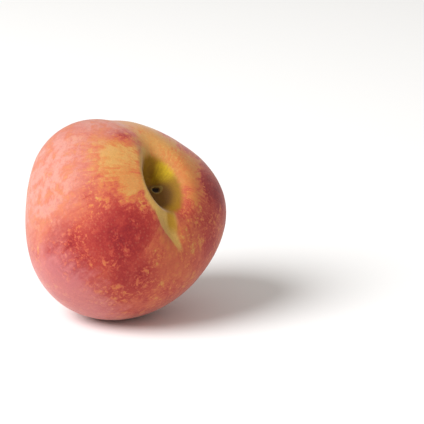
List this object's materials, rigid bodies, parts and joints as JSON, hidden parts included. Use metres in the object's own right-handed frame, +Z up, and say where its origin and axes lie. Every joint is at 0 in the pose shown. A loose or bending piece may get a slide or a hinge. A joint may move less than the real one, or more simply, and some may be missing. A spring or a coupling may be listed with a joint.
{
  "type": "peach",
  "caption": "Whole ripe peach with a deep stem cavity, a seam groove and red-blushed velvety skin, lying on its side.",
  "frame": {"origin": "middle of the small flat spot on the underside that the fruit rests on", "axes": "+Z up; the stem end leans 52 degrees from upright, towards a heading of -45 degrees from +X, so the stem cavity faces +X, -Y and up"},
  "size_m": [0.0735, 0.0675, 0.0713],
  "materials": {
    "skin": "matt velvety peach skin: red blush over a yellow-green ground, with a short pale fuzz"
  },
  "bodies": {
    "root": {"peach": "skin"}
  },
  "joints": []
}
